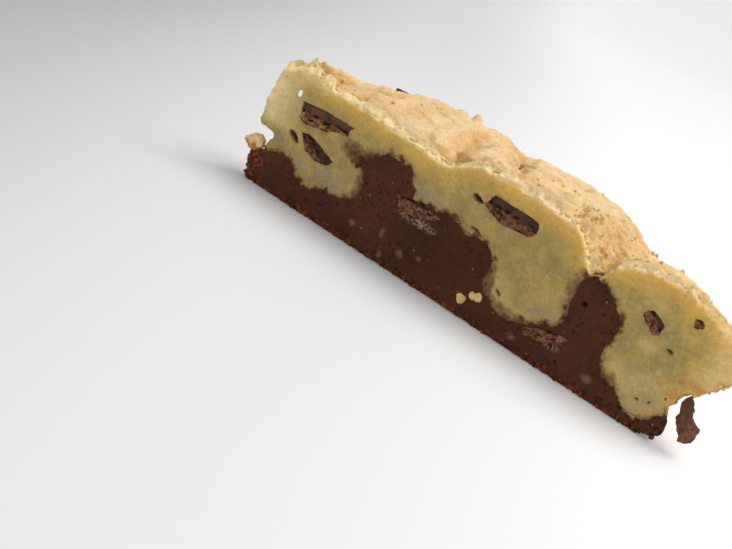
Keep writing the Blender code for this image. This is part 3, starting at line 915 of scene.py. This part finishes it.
def dough_relief(spot, seam):
    """The crumb of the dough, coarser at its tips, on its sides and at the seam, in mm."""
    place = spot.place
    relief = 0.09 * rough(place, 1.1 * MM) + 0.06 * rough(place, 0.5 * MM, 2)
    tip = (1 - between(0.5, 3.5, spot.x)) + between(105, 109, spot.x)
    coarse = 0.35 * rough(place, 2.2 * MM, 2) + 0.35 * lump(place, 1.6 * MM)
    relief += tip * (1 - spot.front * 0.6) * coarse
    if spot.side > 0:
        relief += spot.side * (0.22 * rough(place, 2.2 * MM) - 0.35 * pore(place, 2.8 * MM, 0.35))
    return relief + seam * 0.25 * lump(place, 0.9 * MM)


def cream_and_highlight_share(spot, crust, cut):
    """How creamy the dough is at the tips, in soft spots and where it is torn, with a painted highlight along
    the rim of the cut and on the crust just behind it.
    """
    x = spot.x
    behind = spot.skin * (1 - between(0.4, 2.6, spot.y + 0.8 * spot.low))
    yellower = 0.75 * between(82, 92, x) + 0.6 * between(56, 61, x) * (1 - between(64, 69, x))
    # painted highlight: the rim of the cut and the crust just behind it are painted pale as if lit, weaker
    # where the rim is yellower or ochre
    painted_rim_highlight = max(cut.lip * 1.1, behind * 0.45) * (0.95 + 0.15 * spot.low)
    painted_rim_highlight *= (1 - yellower) * (1 - min(1, crust.ochre))
    pale_tips = (1 - between(2, 9, x)) * between(12, 16, spot.z) * 0.75 + between(103, 110, x) * 0.45
    creamy = max(pale_tips, spots(x, spot.z, CREAMY) * 0.22) * spot.front * (1 + 0.5 * spot.low)
    return min(1, max(painted_rim_highlight, creamy, crust.torn * 0.65))


def dough_shares(spot, crust, cut, seam, distance):
    """How much of each colour a point of the dough takes, and how far it is from the seam in mm."""
    blotch = spot.blotch
    edge = 1 - between(-0.2, 0.9, spot.under + 0.5 * rough(spot.place, 2 * MM))
    depth = (spot.under - 1.4) / (2.4 + 1.6 * blotch)
    rind = math.exp(-depth ** 2) * (1 - spot.skin) * (0.7 + 0.4 * blotch)
    right_cut = spot.front * between(98, 111, spot.x) * 0.7
    right_crust = between(88, 108, spot.x) * 0.7
    golden = max(spot.side * 0.6, crust.shoulder * 0.2, spot.rim * 0.5, blotch * 0.15, right_crust)
    baked = spot.side * (0.15 + 0.6 * between(0.4, 0.8, blotch)) * between(24, 8, spot.z)
    browned = crust.shoulder * blotch * 0.3 + spot.rim * blotch * 0.5 + baked * 0.6 + spot.end
    return {
        "crust": max(spot.skin * (1 - crust.torn * 0.8), spot.side * 0.85, edge * spot.front),
        "lip": cream_and_highlight_share(spot, crust, cut),
        "rind": min(1, max(rind, crust.torn * 0.6, right_cut)),
        "floury": min(1, cut.floury + seam * 0.3),
        "golden": min(1, golden),
        "browned": min(1, browned),
        "ochre": min(1, crust.ochre * 0.9),
        "greyed": crust.greyed * 0.7,
        "seam": max(distance - SEAM_GAP, 0),
        "smear": spots(spot.x, spot.z, SMEARS) if spot.y < SMEAR_DEPTH else 0,
        # painted shade in the pits, darker the deeper they are
        "painted_pit_shade_and_dark_place": min(1, cut.pit * PIT_SHADE),
    }


def crumbliness(spot, crust, cut, seam):
    """How readily loose crumbs cling to a point of the dough."""
    broken = max(crust.torn, crust.crack * 0.6, crust.crease * 0.4, seam * 0.10, cut.lip * 0.15)
    return max(broken, spot.rim * 0.3 * spot.blotch, spot.end * 0.6)


def build_cookie():
    """The cookie layer, carved from its solid. Gives where its crumbs cling."""
    piece, bm = fine_copy("cookie_dough", "cookie_layer", FINE, SOFTENINGS)
    refine_cut(bm)
    own = tree_of(["cookie_dough"])
    brownie = tree_of(["brownie"])
    chocolate = tree_of(chunk_nodes())
    masks = {}
    crumbly = []
    places = []
    for vertex in bm.verts:
        place = vertex.co
        spot = dough_spot(place, vertex.normal, own)
        crust = crust_at(spot) if spot.skin > 0 else NO_CRUST
        cut = dough_cut_at(spot) if spot.front > 0 else NO_CUT
        distance, near_brownie, to_brownie = reach_for(brownie, place, SEAM_REACH)
        _, near_chunk, to_chunk = reach_for(chocolate, place, TOUCH)
        shift = to_brownie + to_chunk * 0.8 + brought_forward(place, max(near_brownie, near_chunk * 0.7))
        shift += rolled_over(spot.y, spot.under)
        seam = near_brownie * max(spot.front, spot.side)
        relief = dough_relief(spot, seam) + crust.relief + cut.relief
        beside = pinhole_offset(spot.x, spot.y, spot.z).length
        if spot.x < PINHOLE_END and beside < 1.6:
            relief *= between(0.8, 1.6, beside)
        moved = place + shift + vertex.normal * (relief - cut.pit) * MM
        moved.z += crust.lifted * MM
        places.append(moved)
        add_shares(masks, dough_shares(spot, crust, cut, seam, distance))
        crumbly.append(crumbliness(spot, crust, cut, seam))
    move_to(bm, places)
    clinging = clinging_places(bm, crumbly)
    put_back(piece, bm)
    finish_piece(piece, masks, COOKIE, ["cookie_dough"])
    open_pinhole(piece)
    return clinging


def brownie_cut_at(place, x, z, front):
    """The pits, pores, splits, chalk and pale spots of the brownie's cut at a point, and its relief in mm."""
    chalky = spots(x, z, CHALKY) * front
    split = 1 - between(0.01, 0.07, abs(rough(place, 2.4 * MM, 2)))
    split *= between(0.05, 0.30, rough(place + TIP, 3 * MM, 2))
    pocked = 0.4 + 0.6 * between(-0.3, 0.3, rough(place - TIP, 8 * MM, 2))
    holes = front * pocked * max(split, pore(place, 1.5 * MM, 0.30), pore(place + TIP, 0.9 * MM, 0.30))
    relief = front * 0.16 * rough(place, 1.9 * MM) - 0.40 * holes + chalky * 0.4 * lump(place, 0.8 * MM)
    pit = pit_depth(x, z) * front
    pale = spots(x, z, PALE_SPOTS) * front
    return SimpleNamespace(relief=relief, pit=pit, holes=holes, chalky=chalky, pale=pale)


def build_brownie():
    """The brownie layer, carved from its solid. Gives where its crumbs cling."""
    piece, bm = fine_copy("brownie", "brownie_layer", FINE, SOFTENINGS)
    refine_cut(bm)
    cookie = tree_of(["cookie_dough"])
    chocolate = tree_of(chunk_nodes())
    masks = {}
    crumbly = []
    places = []
    for vertex in bm.verts:
        place = vertex.co
        normal = vertex.normal
        x, y, z = on_cut(place)
        front = cut_share(normal, y)
        base = smooth(-normal.z * 2 - 0.6) * (1 - between(0.3, 1.0, z))
        side = (1 - front) * between(0.5, 1.5, y) * (1 - base) * (1 - between(0.3, 0.8, normal.z))
        ragged = rough(place, 2 * MM)
        rim = (1 - between(0.3, 1.5, z + 0.8 * ragged)) * (1 - base)
        cut = brownie_cut_at(place, x, z, front) if front > 0 else NO_CUT
        distance, near_cookie, _ = reach_for(cookie, place, SEAM_REACH)
        _, near_chunk, to_chunk = reach_for(chocolate, place, TOUCH)
        shift = to_chunk * 0.8 + brought_forward(place, max(near_cookie, near_chunk))

        relief = 0.09 * rough(place, 0.9 * MM) + 0.05 * rough(place, 0.45 * MM, 2) + cut.relief
        if side > 0:
            relief += side * (0.25 * ragged - 0.35 * pore(place, 2.4 * MM, 0.4))
        if base > 0:
            relief += base * (0.10 * rough(place, 3 * MM) - 0.3 * pore(place, 3 * MM, 0.35) - 0.05)
        if rim > 0:
            relief += rim * (0.7 * lump(place, 1.3 * MM) + 0.4 * lump(place, 0.7 * MM) - 0.1)
        tip = 1 - between(0.5, 3.0, x)
        relief += tip * (0.6 * lump(place, 1.5 * MM) + 0.35 * rough(place, 0.9 * MM))
        moved = place + shift + normal * (relief - cut.pit) * MM
        moved.z = max(moved.z, 0)
        places.append(moved)

        patchy = 0.25 + 0.75 * between(-0.15, 0.35, rough(place, 5 * MM))
        glow = (1 - between(1.0, 4.5, x)) * between(-0.4, 0.2, ragged)
        darker = 0.30 * spots(x, z, DARKER) * front
        add_shares(masks, {
            "toasted": min(1, rim * patchy + base * 0.2 + side * 0.05 + glow * 0.9),
            "pale": cut.pale,
            "chalky": cut.chalky,
            "floury": spots(x, z, FLOURY) * front,
            "seam": -max(distance - SEAM_GAP, 0),
            "smear": spots(x, z, SMEARS) if y < SMEAR_DEPTH else 0,
            # painted shade in pits, splits and pores, with the darker place
            "painted_pit_shade_and_dark_place": min(1, max(cut.pit * PIT_SHADE, cut.holes * 0.75, darker)),
        })
        crumbly.append(rim * (0.4 + 0.6 * max(0, ragged)))
    move_to(bm, places)
    clinging = clinging_places(bm, crumbly)
    put_back(piece, bm)
    finish_piece(piece, masks, BROWNIE, ["brownie"])
    return clinging


# The chocolate chunks

def build_chunk(node):
    """A chunk, smooth where it was moulded and broken in layers where the knife went through it."""
    piece, bm = fine_copy(node, node.replace("chunk", "chocolate"), CHUNK_FINE, 1)
    turn, smooth_from, tone = CHUNK_GRAIN.get(node, OTHER_GRAIN)
    across = Vector((math.cos(math.radians(turn)), 0, math.sin(math.radians(turn))))
    upward = Vector((-across.z, 0, across.x))
    levels = [v.co.dot(upward) for v in bm.verts]
    at_cut = [level for v, level in zip(bm.verts, levels) if v.co.y < TIP.y + CUT_DEPTH] or levels
    low = min(at_cut)
    thick = max(at_cut) - low
    masks = {}
    places = []
    for vertex, level in zip(bm.verts, levels):
        place = vertex.co
        front = smooth(-vertex.normal.y * 1.5)
        share = (level - low) / thick + 0.10 * rough(place, 2.5 * MM)
        broken = (1 - between(smooth_from - 0.05, smooth_from + 0.05, share)) * (0.35 + 0.65 * front)
        along = place.dot(across)
        layer = level / LAYER_THICK + rough(Vector((along / 2, place.y, level)), 1.5 * MM)
        step = layer - math.floor(layer)
        bed = noise.noise(Vector((math.floor(layer) * 3.7, along / (1.6 * MM), 0.5)))
        crack = (1 - between(0.04, 0.17, min(step, 1 - step))) * between(-0.35, 0.2, rough(place, 1.6 * MM))
        parting = 1 - between(0.03, 0.09, abs(share - smooth_from))
        parting *= between(-0.4, 0.2, rough(place, 2 * MM, 2))
        crack = max(crack * broken, parting * front)
        relief = 0.05 * rough(place, 1.2 * MM) - crack * 0.45
        relief += broken * (0.25 * bed + 0.14 * rough(place, 0.6 * MM) + 0.35 * lump(place, 0.9 * MM))
        relief -= (1 - broken) * front * 0.25
        places.append(place + vertex.normal * relief * MM)
        # the cracks and the parting get painted shade
        add_shares(masks, {"broken": broken, "painted_crack_shade": crack})
    # painted light and shade for how this chunk is lit
    masks["tone"] = tone
    masks["dusty"] = DUSTY_CHUNKS.get(node, 0.0)
    move_to(bm, places)
    put_back(piece, bm)
    finish_piece(piece, masks, CHOCOLATE, [node])


# Loose crumbs

def scatter(name, clinging, sizes, material, masks, seed):
    """Small broken crumbs that cling where the food is crumbly, all of one kind in one piece."""
    chance = random.Random(seed)
    weights = [share for _, _, share in clinging]
    small, large = sizes
    bm = bmesh.new()
    for place, normal, _ in chance.choices(clinging, weights=weights, k=CRUMB_COUNT):
        size = small + (large - small) * chance.random() ** 2.5
        axis = Vector((chance.random() - 0.5, chance.random() - 0.5, chance.random() - 0.5))
        turn = Matrix.Rotation(chance.uniform(0, math.tau), 4, axis)
        long = chance.uniform(0.7, 1.4)
        stretch = Matrix.Diagonal((long, chance.uniform(0.6, 1.1), chance.uniform(0.6, 1.1), 1))
        middle = place + normal * size * 0.12
        made = bmesh.ops.create_icosphere(
            bm, subdivisions=1, radius=size / 2, matrix=Matrix.Translation(middle) @ turn @ stretch,
        )
        for vertex in made["verts"]:
            vertex.co += (vertex.co - middle) * 0.7 * noise.noise(vertex.co / (0.3 * MM))
            vertex.co.z = max(vertex.co.z, 0)
    finish_piece(new_piece(name, bm), masks, material, [])


def build_small_crumb(node, name, material, masks, painted, waist, uneven):
    """A crumb that clings to a tip: thinned by its waist, carved, with one mask on its lower part alone."""
    piece, bm = fine_copy(node, name, CHUNK_FINE, 6)
    middle = sum((v.co for v in bm.verts), Vector()) / len(bm.verts)
    heights = [v.co.z for v in bm.verts]
    low = min(heights)
    tall = max(heights) - low
    strength = masks[painted]
    masks = {**masks, painted: []}
    places = []
    for vertex in bm.verts:
        place = vertex.co
        share = (place.z - low) / tall
        above = between(0.30, 0.60, share + 0.25 * rough(place, 1.2 * MM))
        masks[painted].append(strength * (1 - above))
        relief = 0.5 * rough(place, 2.0 * MM) + 0.45 * lump(place, 1.0 * MM) + 0.10 * rough(place, 0.5 * MM)
        thinned = (place - middle) * (readings(waist, share) - 1)
        thinned.z = 0
        places.append(place + thinned + vertex.normal * relief * uneven * MM)
    move_to(bm, places)
    put_back(piece, bm)
    finish_piece(piece, masks, material, [node])


def build_dough_balls():
    """Little balls of dough that stick to the brownie."""
    bm = bmesh.new()
    for (x, z), size in DOUGH_BALLS:
        middle = TIP + Vector((x, -0.1, z)) * MM
        made = bmesh.ops.create_icosphere(
            bm, subdivisions=4, radius=size * MM / 2, matrix=Matrix.Translation(middle),
        )
        for vertex in made["verts"]:
            way = vertex.co - middle
            vertex.co += way * 0.30 * rough(vertex.co, 1.1 * MM)
            vertex.co.y = middle.y + (vertex.co.y - middle.y) * 0.6
    finish_piece(new_piece("dough_balls", bm), DOUGH_MASKS, COOKIE, [])


cookie_clinging = build_cookie()
brownie_clinging = build_brownie()
for chunk in chunk_nodes():
    build_chunk(chunk)
build_small_crumb("tip_crumb", "tip_dough", COOKIE, TIP_MASKS, "browned", TIP_WAIST, 1)
build_small_crumb(
    "brownie_crumb", "hanging_brownie", BROWNIE, HANGING_MASKS, "toasted", HANGING_WAIST, 0.6,
)
build_dough_balls()
scatter("dough_crumbs", cookie_clinging, DOUGH_CRUMB_SIZES, COOKIE, CRUMB_MASKS, seed=5)
scatter("base_crumbs", brownie_clinging, BASE_CRUMB_SIZES, BROWNIE, BASE_MASKS, seed=9)


# Camera, floor and light

def build_camera():
    lens = bpy.data.cameras.new("camera")
    lens.lens = CAMERA_LENS
    lens.sensor_width = 36
    lens.clip_start = 0.01
    camera = new_object("camera", lens)
    turn = Matrix.Rotation(CAMERA_AZIMUTH, 4, "Z") @ Matrix.Rotation(math.pi / 2 - CAMERA_ELEVATION, 4, "X")
    camera.matrix_world = Matrix.Translation(CAMERA_PLACE) @ turn @ Matrix.Rotation(CAMERA_ROLL, 4, "Z")
    bpy.context.scene.camera = camera


def measured(tree, operation, place, other=Vector()):
    """One measure of a place, such as its length or how far it lies along a way."""
    node = add_node(tree, "VectorMath", {0: place, 1: other})
    node.operation = operation
    return node.outputs["Value"]


def floor_material():
    """A plain pale floor with painted shade on the left of the bar, paler on its right and far away, where it
    also glows with painted light.
    """
    material, tree, shader = plain_material("pale floor")
    place = food_place(tree)
    beside = measured(tree, "DOT_PRODUCT", place, FLOOR_WAY)
    away = measured(tree, "LENGTH", place)
    # painted shade: the floor is greyer on the left of the bar and near it
    pale = sums(tree, "MAXIMUM", stretched(tree, beside, -0.17, -0.04), stretched(tree, away, 0.2, 0.6))
    # painted light: the floor glows far away and on the right, though it is no lamp
    far = stretched(tree, away, 0.2, 0.8, 0.0, FAR_PAINTED_GLOW)
    right = stretched(tree, beside, -0.04, 0.07, 0.0, RIGHT_PAINTED_GLOW)
    glow = shaded(tree, (1.0, 1.0, 1.0), sums(tree, "ADD", far, right))
    give(tree, shader, {
        "Base Color": mixed(tree, pale, FLOOR_PAINTED_SHADE, FLOOR_PALE),
        "Emission Color": glow,
        "Emission Strength": 1,
        "Roughness": 0.6,
    })
    return material


def build_floor():
    """A round floor whose edge curves up, so that no horizon shows."""
    bm = bmesh.new()
    line = [bm.verts.new((x, 0, z)) for x, z in FLOOR_PROFILE]
    edges = [bm.edges.new(pair) for pair in zip(line, line[1:])]
    bmesh.ops.spin(
        bm, geom=line + edges, cent=(0, 0, 0), axis=(0, 0, 1), angle=math.tau, steps=64, use_merge=True,
    )
    bmesh.ops.remove_doubles(bm, verts=bm.verts, dist=0.1 * MM)
    bmesh.ops.recalc_face_normals(bm, faces=bm.faces)
    floor = new_piece("floor", bm)
    floor.data.shade_smooth()
    floor.data.materials.append(floor_material())


def add_light(name, place, size, power):
    """A soft square lamp that looks at the bar."""
    lamp = bpy.data.lights.new(name, "AREA")
    lamp.size = size
    lamp.energy = power
    light = new_object(name, lamp)
    light.location = place
    light.rotation_euler = (-Vector(place)).to_track_quat("-Z", "Y").to_euler()


def light_scene():
    world = bpy.data.worlds.new("soft room")
    bpy.context.scene.world = world
    world.use_nodes = True
    shade = world.node_tree.nodes["Background"]
    shade.inputs["Color"].default_value = (1, 1, 1, 1)
    shade.inputs["Strength"].default_value = ROOM_LIGHT
    add_light("window", WINDOW_PLACE, size=0.55, power=4.8)
    add_light("fill", FILL_PLACE, size=0.8, power=1.6)
    bpy.context.scene.view_settings.view_transform = "Standard"


build_camera()
build_floor()
light_scene()
